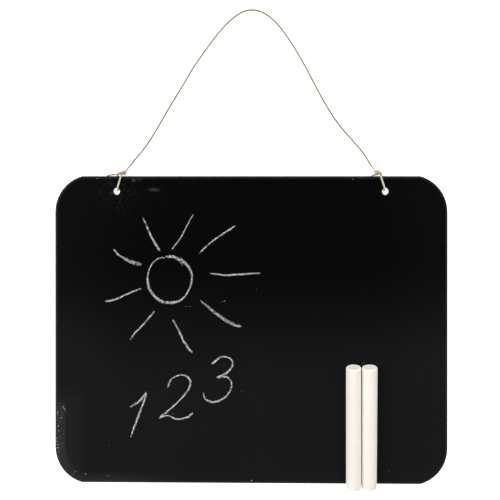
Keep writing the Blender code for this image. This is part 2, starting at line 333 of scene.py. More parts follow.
def atKnot(tie, place):
    inward, beyond, up = place
    return Vector((board["holeSpacing"] / 2 - tie["strand"] - inward, topEdge + beyond, up))


def swingEnd(tie):
    return atKnot(tie, (tie["swing"], cord["swingBeyond"], cord["swingHeight"]))


def knotMiddle(tie):
    return atKnot(tie, (*tie["knot"], cord["knotHeight"]))


def standingWay(tie):
    return (knotMiddle(tie) - swingEnd(tie)).normalized()


def mirrored(line, side):
    return [Vector((side * point[0], point[1], max(point[2], cordRadius))) for point in line]


def wraps(tie):
    # turns of the loose end round the standing part
    middle = knotMiddle(tie)
    along = standingWay(tie)
    up = (Vector((0, 0, 1)) - along * along.z).normalized()
    away = up.cross(along)
    radius = cord["diameter"] + cord["wrapGap"]
    points = []
    for index in range(round(tie["turns"] * cord["pointsPerTurn"]) + 1):
        turned = index / cord["pointsPerTurn"]
        angle = math.pi * (1 + 2 * turned)
        outward = up * math.cos(angle) + away * math.sin(angle)
        reach = cord["wrapStart"] + cord["wrapPitch"] * turned
        points.append(middle + along * reach + outward * radius)
    return points


def frontPlace(tie, y, height):
    # on the strand that runs straight from a knot to the far side of its hole
    share = (topEdge - y) / (topEdge - holeTurnY)
    inboard = tie["strand"] + (tie["hole"] - tie["strand"]) * share
    return Vector((board["holeSpacing"] / 2 - inboard, y, height))


def tieRoute(tie):
    # from the arch over the top edge, down through the hole, back behind the board and round itself
    along = standingWay(tie)
    middle = knotMiddle(tie)
    holeX = board["holeSpacing"] / 2 - tie["hole"]
    turnRadius = (board["thickness"] + cord["diameter"]) / 2 + board["seatGap"]
    turnHeight = underside(holeY) + board["thickness"] / 2
    above = board["thickness"] + board["seatGap"] + cordRadius
    route = [swingEnd(tie) + along * cord["swingGap"], (swingEnd(tie) + middle) / 2, middle]
    route.append(middle + along * tie["knotStraight"])
    route.append(frontPlace(tie, topEdge + cordRadius, underside(topEdge) + above - cordRadius))
    firstY = topEdge - cordRadius
    for index in range(cord["frontRuns"]):
        y = firstY + (holeTurnY - firstY) * index / cord["frontRuns"]
        route.append(frontPlace(tie, y, underside(y) + above))
    turnSteps = cord["holeTurnSteps"]
    for index in range(turnSteps + 1):
        angle = math.pi * index / turnSteps
        y = holeTurnY - turnRadius * math.sin(angle)
        x = holeX + cord["holeSlant"] * index / turnSteps
        route.append(Vector((x, y, turnHeight + turnRadius * math.cos(angle))))
    backStart = route[-1]
    backPoints = [atKnot(tie, place) for place in tie["return"]]
    route += [backStart.lerp(backPoints[0], share) for share in cord["returnShares"]]
    route += backPoints
    route += wraps(tie)
    route += [atKnot(tie, place) for place in tie["tail"]]
    return route


def archLine():
    # from one tied end up and over to the other, lying on the table but for its two ends
    route = [Vector((x, y, cordRadius)) for x, y in archRoute]
    for tie in (leftTie, rightTie):
        tip = mirrored([swingEnd(tie)], tie["side"])[0]
        first = route[0] if tie["side"] < 0 else route[-1]
        out = Vector((first.x - tip.x, first.y - tip.y, 0)).normalized()
        lead = [tip]
        for share, fallen in cord["leadShares"]:
            point = tip + out * cord["archLead"] * share
            point.z = cord["swingHeight"] + (cordRadius - cord["swingHeight"]) * fallen
            lead.append(point)
        if tie["side"] < 0:
            route = lead + route
        else:
            route += reversed(lead)
    return mirrored(smoothLine(route, cord["lineStep"]), 1)


def layPlies(tree, given, line):
    # each ply is a tube that winds round the line, with the place on it kept for the fibres' pattern
    inputs = {"Geometry": line, "Amount": given["Plies"]}
    copies = put(tree, "GeometryNodeDuplicateElements", inputs, domain="SPLINE").outputs
    normal = take(tree, "GeometryNodeInputNormal")
    tangent = take(tree, "GeometryNodeInputTangent")
    spline = put(tree, "GeometryNodeSplineParameter").outputs
    thinned = calc(tree, "SUBTRACT", spline["Factor"], given["Thin From"])
    slender = smoothStep(tree, thinned, *cord["thinRamp"])
    start = calc(tree, "DIVIDE", copies["Duplicate Index"], given["Plies"])
    turns = calc(tree, "ADD", calc(tree, "DIVIDE", spline["Length"], given["Pitch"]), start)
    angle = product(tree, turns, 2 * math.pi)
    across = vectorCalc(tree, "SCALE", normal, scale=calc(tree, "COSINE", angle))
    side = vectorCalc(tree, "CROSS_PRODUCT", tangent, normal)
    beside = vectorCalc(tree, "SCALE", side, scale=calc(tree, "SINE", angle))
    layRadius = product(tree, given["Lay Radius"], slender)
    offset = vectorCalc(tree, "SCALE", vectorCalc(tree, "ADD", across, beside), scale=layRadius)
    plies, along = capture(tree, copies["Geometry"], spline["Length"])
    plies = take(tree, "GeometryNodeSetPosition", {"Geometry": plies, "Offset": offset})

    inputs = {"Resolution": given["Sides"], "Radius": given["Ply Radius"]}
    ring = take(tree, "GeometryNodeCurvePrimitiveCircle", inputs)
    ringPlace = take(tree, "GeometryNodeInputPosition")
    ring, place = capture(tree, ring, ringPlace, "VECTOR")
    swell = gained(tree, noiseAt(tree, combine(tree, along), cord["swellLength"]), *cord["swellGain"])
    swell = product(tree, swell, slender)
    tubes = take(tree, "GeometryNodeCurveToMesh", {
        "Curve": plies, "Profile Curve": ring, "Scale": swell, "Fill Caps": True,
    })
    fibre = vectorCalc(tree, "ADD", place, combine(tree, 0.0, 0.0, along))
    return take(tree, "GeometryNodeStoreNamedAttribute", {
        "Geometry": tubes, "Name": "fibre", "Value": fibre,
    }, data_type="FLOAT_VECTOR", domain="POINT")


def looseHairs(tree, given, line):
    # fine bent hairs that stand out of the lay, rooted along the line
    inputs = {"Resolution": cord["hairSteps"], **cord["hairBend"]}
    bent = take(tree, "GeometryNodeCurveQuadraticBezier", inputs)
    inputs = {"Resolution": cord["hairSides"], "Radius": 1.0}
    thin = take(tree, "GeometryNodeCurvePrimitiveCircle", inputs)
    part = put(tree, "GeometryNodeSplineParameter").outputs["Factor"]
    ratio = calc(tree, "DIVIDE", given["Hair Radius"], given["Hair Length"])
    taper = product(tree, ratio, calc(tree, "SUBTRACT", cord["hairTaper"], part))
    hair = take(tree, "GeometryNodeCurveToMesh", {
        "Curve": bent, "Profile Curve": thin, "Scale": taper, "Fill Caps": True,
    })

    inputs = {"Curve": line, "Count": given["Hairs"]}
    roots = put(tree, "GeometryNodeCurveToPoints", inputs, mode="COUNT").outputs
    slip = product(tree, randomNumber(tree, -1.0, 1.0, given["Seed"]), cord["hairSlip"])
    offset = vectorCalc(tree, "SCALE", roots["Tangent"], scale=slip)
    inputs = {"Geometry": roots["Points"], "Offset": offset}
    shifted = take(tree, "GeometryNodeSetPosition", inputs)
    inputs = {"Rotation": roots["Rotation"], "Rotate By": randomTurn(tree, cord["hairLean"], given["Seed"])}
    facing = take(tree, "FunctionNodeRotateRotation", inputs, rotation_space="LOCAL")
    size = randomNumber(tree, *cord["hairSizes"], given["Seed"])
    size = product(tree, given["Hair Length"], size)
    return take(tree, "GeometryNodeInstanceOnPoints", {
        "Points": shifted, "Instance": hair, "Rotation": facing, "Scale": combine(tree, size, size, size),
    })


def twistedCordTree():
    tree, given = newTree("twisted cord", [
        ("Plies", "Int"), ("Ply Radius", "Float"), ("Lay Radius", "Float"), ("Pitch", "Float"),
        ("Sides", "Int"), ("Step", "Float"), ("Hairs", "Int"), ("Hair Length", "Float"),
        ("Hair Radius", "Float"), ("Thin From", "Float"), ("Seed", "Int"), ("Material", "Material"),
    ])
    line = take(tree, "GeometryNodeMeshToCurve", {"Mesh": given["Geometry"]})
    line = take(tree, "GeometryNodeResampleCurve", {"Curve": line, "Length": given["Step"]}, mode="LENGTH")
    joined = put(tree, "GeometryNodeJoinGeometry")
    tree.links.new(layPlies(tree, given, line), joined.inputs[0])
    tree.links.new(looseHairs(tree, given, line), joined.inputs[0])
    realized = take(tree, "GeometryNodeRealizeInstances", {"Geometry": joined.outputs[0]})
    # hairs that would pass through the table lie on it
    parts = split(tree, take(tree, "GeometryNodeInputPosition"))
    lifted = combine(tree, parts[0], parts[1], calc(tree, "MAXIMUM", parts[2], cord["tableGap"]))
    settled = take(tree, "GeometryNodeSetPosition", {"Geometry": realized, "Position": lifted})
    smooth = take(tree, "GeometryNodeSetShadeSmooth", {"Geometry": settled})
    endTree(tree, smooth, given["Material"])
    return tree


# Materials. A noise is the size of its blotches, its detail and its roughness, a bump its depth and its
# strength, a gain a factor and what is added, and a ramp where it starts and ends and its shares there.
def newMaterial(name, finish):
    made = bpy.data.materials.new(name)
    made.use_nodes = True
    shader = made.node_tree.nodes["Principled BSDF"]
    shader.inputs["Roughness"].default_value = finish["roughness"]
    shader.inputs["Specular IOR Level"].default_value = finish["level"]
    place = put(made.node_tree, "ShaderNodeTexCoord").outputs["Object"]
    return made, made.node_tree, shader, place


def shade(colour):
    return colour if isinstance(colour, bpy.types.NodeSocket) else (*colour, 1.0)


def mixColours(tree, factor, first, second):
    inputs = {0: factor, 6: shade(first), 7: shade(second)}
    return put(tree, "ShaderNodeMix", inputs, data_type="RGBA").outputs[2]


def addBump(tree, shader, height, depth, strength):
    bump = take(tree, "ShaderNodeBump", {"Height": height, "Distance": depth, "Strength": strength})
    tree.links.new(bump, shader.inputs["Normal"])


cordFinish = {
    "pale": (0.43, 0.35, 0.195), "deep": (0.19, 0.14, 0.065), "grey": (0.34, 0.285, 0.18),
    "paintedLitPale": (0.90, 0.84, 0.72), "paintedLitDeep": (0.56, 0.48, 0.36),
    "roughness": 0.85, "level": 0.3, "bump": (0.00006, 0.8),
    "streakNoise": (0.00007, 3.0, 0.65), "streakStretch": 0.06, "patchNoise": (0.006, 3.0),
    "toneShares": (0.65, 0.35), "toneRamp": (0.30, 0.66), "greyRamp": (0.5, 0.75),
    # painted highlight: the strands paler where they stand off the table, over the writing face and round
    # the knots, more so on the right
    "faceRamp": (0.0015, -0.0008, 0.0, 0.75), "knotRamp": (0.0075, 0.0030),
    "rightRamp": (-0.05, 0.05, 0.25, 0.8), "raisedRamp": (0.0012, 0.0026),
}


def makeCordMaterial():
    made, tree, shader, place = newMaterial("twisted natural fibre", cordFinish)
    fibre = put(tree, "ShaderNodeAttribute", attribute_name="fibre").outputs["Vector"]
    drawn = vectorCalc(tree, "MULTIPLY", fibre, (1.0, 1.0, cordFinish["streakStretch"]))
    streaks = noiseAt(tree, drawn, *cordFinish["streakNoise"])
    patches = noiseAt(tree, place, *cordFinish["patchNoise"])
    tone = weighed(tree, streaks, patches, cordFinish["toneShares"])
    tone = smoothStep(tree, tone, *cordFinish["toneRamp"])
    colour = mixColours(tree, tone, cordFinish["deep"], cordFinish["pale"])
    grey = smoothStep(tree, patches, *cordFinish["greyRamp"])
    colour = mixColours(tree, grey, colour, cordFinish["grey"])
    # painted highlight: a paler copy of the fibre colour where the strands are raised over the face and the
    # knots
    paintedLitPale = mixColours(tree, tone, cordFinish["paintedLitDeep"], cordFinish["paintedLitPale"])
    parts = split(tree, place)
    beyond = calc(tree, "SUBTRACT", parts[1], topEdge)
    onFace = smoothStep(tree, beyond, *cordFinish["faceRamp"])
    knotted = smoothStep(tree, beyond, *cordFinish["knotRamp"])
    knotted = product(tree, knotted, smoothStep(tree, parts[0], *cordFinish["rightRamp"]))
    raised = smoothStep(tree, parts[2], *cordFinish["raisedRamp"])
    paintedHighlight = calc(tree, "MULTIPLY", calc(tree, "ADD", onFace, knotted), raised, clamp=True)
    colour = mixColours(tree, paintedHighlight, colour, paintedLitPale)
    tree.links.new(colour, shader.inputs["Base Color"])
    addBump(tree, shader, streaks, *cordFinish["bump"])
    return made


chalkFinish = {
    "body": (0.965, 0.925, 0.85), "cool": (0.94, 0.90, 0.83),
    "roughness": 0.95, "level": 0.15, "bump": (0.00004, 0.6),
    "cloudNoise": (0.004, 3.0), "grainNoise": (0.00022, 3.0, 0.7),
    "toneShares": (0.6, 0.4), "toneRamp": (0.35, 0.62),
}


def makeChalkMaterial():
    made, tree, shader, place = newMaterial("pressed chalk", chalkFinish)
    clouds = noiseAt(tree, place, *chalkFinish["cloudNoise"])
    grain = noiseAt(tree, place, *chalkFinish["grainNoise"])
    tone = weighed(tree, clouds, grain, chalkFinish["toneShares"])
    tone = smoothStep(tree, tone, *chalkFinish["toneRamp"])
    colour = mixColours(tree, tone, chalkFinish["cool"], chalkFinish["body"])
    tree.links.new(colour, shader.inputs["Base Color"])
    addBump(tree, shader, grain, *chalkFinish["bump"])
    return made


dustFinish = {
    "bright": (0.98, 0.98, 0.96), "dull": (0.16, 0.16, 0.16), "roughness": 1.0, "level": 0.05,
    "grainNoise": (0.0007, 2.0, 0.6), "toneRamp": (0.41, 0.53),
}


def makeDustMaterial():
    made, tree, shader, place = newMaterial("chalk dust", dustFinish)
    tone = smoothStep(tree, noiseAt(tree, place, *dustFinish["grainNoise"]), *dustFinish["toneRamp"])
    colour = mixColours(tree, tone, dustFinish["dull"], dustFinish["bright"])
    tree.links.new(colour, shader.inputs["Base Color"])
    return made


boardFinish = {
    "coat": (0.0012, 0.0012, 0.0012), "dustAndSheen": (0.0088, 0.0088, 0.0089),
    # the wear colour, also used for the painted highlight on the rim
    "wearAndHighlightTone": (0.060, 0.058, 0.054), "speck": (0.20, 0.19, 0.17),
    "roughness": 0.5, "level": 0.03, "bump": (0.00003, 0.5),
    # grey haze, partly chalk dust and partly a painted reflection of the lamps, deeper low down and towards
    # both sides
    "dustAndSheenRamp": (0.050, -0.052), "cloudNoise": (0.05, 4.0, 0.6), "cloudGain": (0.5, 0.75),
    "grainNoise": (0.0006, 2.0, 0.6), "grainGain": (0.6, 0.7),
    "sideRamp": (0.078, 0.133), "sideGain": (0.35, 1.0), "sideDustAndSheen": 0.14,
    # rim lighter inside the outline, partly wear and partly a painted highlight where the eased edge
    # catches the light, more so on the left
    "rimRamp": (0.0024, 0.0008), "rimLeftRamp": (-0.12, -0.13, 0.30, 0.62),
    "rimNoise": (0.0012, 3.0, 0.7), "unevenRamp": (0.30, 0.66, 0.35, 1.25),
    # scuffed band inside the left edge, near its lower corner
    "bandRagged": 0.0024, "bandRamp": (0.0090, 0.0072), "bandFootRamp": (-0.100, -0.084, 0.35, 1.0),
    "bandTopRamp": (-0.046, -0.054), "bandLeftRamp": (-0.104, -0.134),
    "scuffRamp": (0.36, 0.62, 0.6, 1.3), "bandShare": 0.36,
    # chalk dust rubbed thin: down the left edge, along the foot and round the left hole
    "leftDustRamp": (-0.108, -0.122, 0.0, 0.13), "leftDustTopRamp": (-0.035, -0.055),
    "footDustRamp": (-0.04, -0.10, 0.03, 0.27), "footDustInRamp": (0.0095, 0.0015),
    "footDustTopRamp": (-0.088, -0.094),
    "holeDustRamp": (0.022, 0.004, 0.0, 0.14), "holeDustNoise": (0.0017, 3.0, 0.6),
    "holeDustPatchRamp": (0.46, 0.66),
    # places rubbed with a chalky finger: middle, half length and half width, share of dust
    "rubs": [
        (-0.0791, 0.1010, 0.0022, 0.0017, 0.58), (-0.0751, 0.1016, 0.0034, 0.0013, 0.34),
        (-0.0653, 0.0945, 0.0056, 0.0019, 0.40), (-0.0939, 0.0924, 0.0018, 0.0028, 0.24),
    ],
    "rubRamp": (1.0, 0.3, 0.0),
    # pale specks on the band and the rim
    "speckNoise": (0.0009, 1.0), "speckRamp": (0.68, 0.74), "speckRimShare": 0.3,
}


def boardDustAndSheen(tree, place, parts, grain):
    # chalk dust with a painted reflection: the coat is painted lighter low down and towards both sides
    cloud = noiseAt(tree, place, *boardFinish["cloudNoise"])
    dustAndSheen = smoothStep(tree, parts[1], *boardFinish["dustAndSheenRamp"])
    dustAndSheen = product(tree, dustAndSheen, gained(tree, cloud, *boardFinish["cloudGain"]))
    side = smoothStep(tree, calc(tree, "ABSOLUTE", parts[0]), *boardFinish["sideRamp"])
    dustAndSheen = product(tree, dustAndSheen, gained(tree, side, *boardFinish["sideGain"]))
    dustAndSheen = calc(tree, "ADD", dustAndSheen, product(tree, side, boardFinish["sideDustAndSheen"]))
    return product(tree, dustAndSheen, gained(tree, grain, *boardFinish["grainGain"]))


def insideOutline(tree, parts):
    # distance inside the board's outline, whose top and bottom edges trim its round corners
    cornerX = board["width"] / 2 - board["cornerRadius"]
    cornerY = board["height"] / 2 + board["cornerTrim"] - board["cornerRadius"]
    inX = calc(tree, "SUBTRACT", calc(tree, "ABSOLUTE", parts[0]), cornerX)
    inY = calc(tree, "SUBTRACT", calc(tree, "ABSOLUTE", parts[1]), cornerY)
    fromCorner = combine(tree, calc(tree, "MAXIMUM", inX, 0.0), calc(tree, "MAXIMUM", inY, 0.0))
    fromCorner = vectorCalc(tree, "LENGTH", fromCorner)
    inside = calc(tree, "SUBTRACT", board["cornerRadius"], fromCorner)
    fromEdge = calc(tree, "SUBTRACT", board["height"] / 2, calc(tree, "ABSOLUTE", parts[1]))
    return calc(tree, "MINIMUM", inside, fromEdge)


def scuffedBand(tree, parts, inside, rimNoise):
    ragged = calc(tree, "ADD", inside, product(tree, rimNoise, boardFinish["bandRagged"]))
    return product(
        tree, smoothStep(tree, ragged, *boardFinish["bandRamp"]),
        smoothStep(tree, parts[1], *boardFinish["bandFootRamp"]),
        smoothStep(tree, parts[1], *boardFinish["bandTopRamp"]),
        smoothStep(tree, parts[0], *boardFinish["bandLeftRamp"]),
    )


def rubbedDust(tree, place, parts, inside):
    leftDust = product(
        tree, smoothStep(tree, parts[0], *boardFinish["leftDustRamp"]),
        smoothStep(tree, parts[1], *boardFinish["leftDustTopRamp"]),
    )
    footDust = product(
        tree, smoothStep(tree, parts[0], *boardFinish["footDustRamp"]),
        smoothStep(tree, inside, *boardFinish["footDustInRamp"]),
        smoothStep(tree, parts[1], *boardFinish["footDustTopRamp"]),
    )
    leftHole = (-board["holeSpacing"] / 2, holeY, faceHeight(holeY))
    fromHole = vectorCalc(tree, "DISTANCE", place, leftHole)
    patches = noiseAt(tree, place, *boardFinish["holeDustNoise"])
    holeDust = product(
        tree, smoothStep(tree, fromHole, *boardFinish["holeDustRamp"]),
        smoothStep(tree, patches, *boardFinish["holeDustPatchRamp"]),
    )
    dusted = calc(tree, "MAXIMUM", calc(tree, "MAXIMUM", leftDust, footDust), holeDust)
    for middleX, middleY, halfLength, halfWidth, share in boardFinish["rubs"]:
        reach = vectorCalc(tree, "SUBTRACT", place, (middleX, middleY, faceHeight(middleY)))
        perSize = (1 / halfLength, 1 / halfWidth, 1 / halfLength)
        reach = vectorCalc(tree, "LENGTH", vectorCalc(tree, "MULTIPLY", reach, perSize))
        rub = smoothStep(tree, reach, *boardFinish["rubRamp"], share)
        dusted = calc(tree, "MAXIMUM", dusted, rub)
    return dusted


def makeBoardMaterial():
    made, tree, shader, place = newMaterial("black writing coat", boardFinish)
    wearAndHighlightTone = boardFinish["wearAndHighlightTone"]
    parts = split(tree, place)
    grain = noiseAt(tree, place, *boardFinish["grainNoise"])
    # chalk dust and painted reflection on the black coat
    dustAndSheen = boardDustAndSheen(tree, place, parts, grain)
    colour = mixColours(tree, dustAndSheen, boardFinish["coat"], boardFinish["dustAndSheen"])

    inside = insideOutline(tree, parts)
    rimNoise = noiseAt(tree, place, *boardFinish["rimNoise"])
    uneven = smoothStep(tree, rimNoise, *boardFinish["unevenRamp"])
    # painted highlight along the eased edge, mixed with wear, stronger on the left
    rim = smoothStep(tree, inside, *boardFinish["rimRamp"])
    leftward = smoothStep(tree, parts[0], *boardFinish["rimLeftRamp"])
    rimWearAndHighlight = calc(tree, "MULTIPLY", product(tree, rim, leftward), uneven, clamp=True)
    colour = mixColours(tree, rimWearAndHighlight, colour, wearAndHighlightTone)

    band = scuffedBand(tree, parts, inside, rimNoise)
    scuffs = smoothStep(tree, rimNoise, *boardFinish["scuffRamp"])
    colour = mixColours(tree, product(tree, band, scuffs, boardFinish["bandShare"]), colour, wearAndHighlightTone)
    dusted = calc(tree, "MULTIPLY", rubbedDust(tree, place, parts, inside), uneven, clamp=True)
    colour = mixColours(tree, dusted, colour, wearAndHighlightTone)

    specks = smoothStep(tree, noiseAt(tree, place, *boardFinish["speckNoise"]), *boardFinish["speckRamp"])
    onRim = product(tree, rim, boardFinish["speckRimShare"])
    speckled = product(tree, specks, calc(tree, "ADD", band, onRim, clamp=True))
    colour = mixColours(tree, speckled, colour, boardFinish["speck"])
    tree.links.new(colour, shader.inputs["Base Color"])
    addBump(tree, shader, grain, *boardFinish["bump"])
    return made


materials = {
    "cord": makeCordMaterial(), "chalk": makeChalkMaterial(),
    "dust": makeDustMaterial(), "board": makeBoardMaterial(),
}
print("materials made")

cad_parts["board_panel"].data.materials.clear()
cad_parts["board_panel"].data.materials.append(materials["board"])

cordTree = twistedCordTree()
cordValues = {
    "Plies": cord["plies"], "Ply Radius": cord["plyRadius"], "Lay Radius": cord["layRadius"],
    "Pitch": cord["pitch"], "Sides": cord["sides"], "Step": cord["step"],
    "Hair Length": cord["hairLength"], "Hair Radius": cord["hairRadius"],
}
archPath = archLine()
archValues = {**cordValues, "Hairs": cord["hairs"], "Thin From": cord["neverThin"], "Seed": cord["seed"]}
archData = lineMesh("arch line", [archPath])
arch = grow("hanging_cord_twisted", archData, cordTree, archValues, materials["cord"])
ties = []
for name, tie in (("left_tie_twisted", leftTie), ("right_tie_twisted", rightTie)):
    tiePath = mirrored(smoothLine(tieRoute(tie), cord["lineStep"]), tie["side"])
    tieData = lineMesh("tie line", [tiePath])
    tieValues = {**cordValues, "Hairs": cord["tieHairs"], "Thin From": tie["thinFrom"], "Seed": tie["seed"]}
    ties.append(grow(name, tieData, cordTree, tieValues, materials["cord"]))
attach(arch, "cord")
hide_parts("hanging_cord")
for tied, node in zip(ties, ("left_tie_knot", "right_tie_knot")):
    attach(tied, "board")
    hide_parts(node)


# Chalk sticks: moulded a little unevenly, with pits, and a shallow dish in the upper end
sticks = {
    "length": 0.0793, "rounding": 0.0010, "footRounding": 0.0004, "dish": 0.00022,
    "spacing": 0.01062, "edgeMargin": 0.0018, "sideMargin": 0.05377,
    "sides": 96, "rings": 150, "endSteps": 8,
    # both ends are cut aslant: rise per metre across, fading out over a reach along the stick
    "slope": 0.083, "footSlope": 0.11, "slopeReach": 0.008,
    # skin: how deep its unevenness goes, how fine it is, and the noise level above which there are pits
    "wobble": 0.00003, "roughScale": 300, "fineScale": 1100, "fineShare": 0.5, "sunk": 0.6,
    "pitScale": 2300, "pitLevel": 0.62, "pitDepth": 3.0,
    # veer is how far the foot stands to the right of the head, longSide where the foot is longer
    "left": {
        "topDiameter": 0.00988, "footDiameter": 0.0099, "veer": 0.00009, "longSide": 1, "seed": 2.0,
    },
    "right": {
        "topDiameter": 0.0102, "footDiameter": 0.0098, "veer": -0.00033, "longSide": -1, "seed": 7.0,
    },
}


def turnedFaces(rings, sides):
    # faces of a turned form, whose vertices are the middle of its first end and then its rings
    faces = [(0, 1 + side, 1 + (side + 1) % sides) for side in range(sides)]
    for ring in range(rings - 1):
        first = 1 + ring * sides
        for side in range(sides):
            after = (side + 1) % sides
            faces.append((first + side, first + sides + side, first + sides + after, first + after))
    return faces


def roundedEnd(radius, rounding):
    # quarter round from the flat of an end to the stick's side: how far out and how far along
    places = []
    for step in range(sticks["endSteps"] + 1):
        angle = math.pi / 2 * step / sticks["endSteps"]
        places.append((radius - rounding * (1 - math.sin(angle)), rounding * (1 - math.cos(angle))))
    return places


def stickProfile(topRadius, footRadius):
    length, rounding, footRounding = sticks["length"], sticks["rounding"], sticks["footRounding"]
    endSteps, rings = sticks["endSteps"], sticks["rings"]
    profile = [((footRadius - footRounding) * step / endSteps, 0.0) for step in range(1, endSteps)]
    profile += roundedEnd(footRadius, footRounding)
    for step in range(1, rings):
        share = step / rings
        along = footRounding + (length - footRounding - rounding) * share
        profile.append((footRadius + (topRadius - footRadius) * share, along))
    profile += [(out, length - along) for out, along in reversed(roundedEnd(topRadius, rounding))]
    for step in reversed(range(1, endSteps)):
        share = step / endSteps
        dish = sticks["dish"] * math.cos(share * math.pi / 2) ** 0.5
        profile.append(((topRadius - rounding) * share, length - dish))
    return profile


def unevenPlace(vertex, shape):
    # with an uneven skin, both ends cut aslant and the foot off to one side
    seed, length = shape["seed"], sticks["length"]
    rough = noise.noise(vertex * sticks["roughScale"] + Vector((seed, 0, 0)))
    rough += sticks["fineShare"] * noise.noise(vertex * sticks["fineScale"])
    pit = noise.noise(vertex * sticks["pitScale"] + Vector((0, seed, 0))) - sticks["pitLevel"]
    push = sticks["wobble"] * (rough - sticks["sunk"] - sticks["pitDepth"] * max(0.0, pit))
    away = Vector((vertex.x, 0, vertex.z))
    place = vertex + away.normalized() * push
    nearTop = max(0.0, 1 - (length - place.y) / sticks["slopeReach"])
    nearFoot = max(0.0, 1 - place.y / sticks["slopeReach"])
    slope = sticks["slope"] * nearTop - shape["longSide"] * sticks["footSlope"] * nearFoot
    place.y += place.x * slope
    place.x += shape["veer"] * (1 - place.y / length)
    return place


def makeStick(name, shape, axisX):
    length, sides = sticks["length"], sticks["sides"]
    topRadius, footRadius = shape["topDiameter"] / 2, shape["footDiameter"] / 2
    profile = stickProfile(topRadius, footRadius)
    vertices = [Vector((0, 0, 0))]
    for radius, along in profile:
        for side in range(sides):
            angle = 2 * math.pi * side / sides
            vertices.append(Vector((radius * math.cos(angle), along, radius * math.sin(angle))))
    vertices.append(Vector((0, length - sticks["dish"], 0)))
    faces = turnedFaces(len(profile), sides)
    last, top = 1 + (len(profile) - 1) * sides, len(vertices) - 1
    faces += [(top, last + (side + 1) % sides, last + side) for side in range(sides)]

    # the tapered side lies flat on the face, which leans about the board's foot
    lean = Matrix.Rotation(math.atan((topRadius - footRadius) / length), 3, "X")
    rest = Matrix.Rotation(tilt, 3, "X")
    middle = Vector((0, length / 2, 0))
    axisY = -board["height"] / 2 + sticks["edgeMargin"] + length / 2
    axisZ = board["thickness"] + board["seatGap"] + (topRadius + footRadius) / 2
    onBoard = Vector((axisX, axisY, axisZ))
    foot = Vector((0, restLine, 0))
    places = [lean @ (unevenPlace(vertex, shape) - middle) + onBoard for vertex in vertices]
    data = bpy.data.meshes.new(name)
    data.from_pydata([rest @ (place - foot) + foot for place in places], [], faces)
    data.shade_smooth()
    data.materials.append(materials["chalk"])
    stick = bpy.data.objects.new(name, data)
    scene.collection.objects.link(stick)
    return stick


rightAxis = board["width"] / 2 - sticks["sideMargin"]
leftAxis = rightAxis - sticks["spacing"]
for name, shape, axisX, node, body in (
    ("left_chalk_stick", sticks["left"], leftAxis, "chalk_stick_left", "chalk_left"),
    ("right_chalk_stick", sticks["right"], rightAxis, "chalk_stick_right", "chalk_right"),
):
    stick = makeStick(name, shape, axisX)
    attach(stick, body)
    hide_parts(node)
print("chalk sticks made")


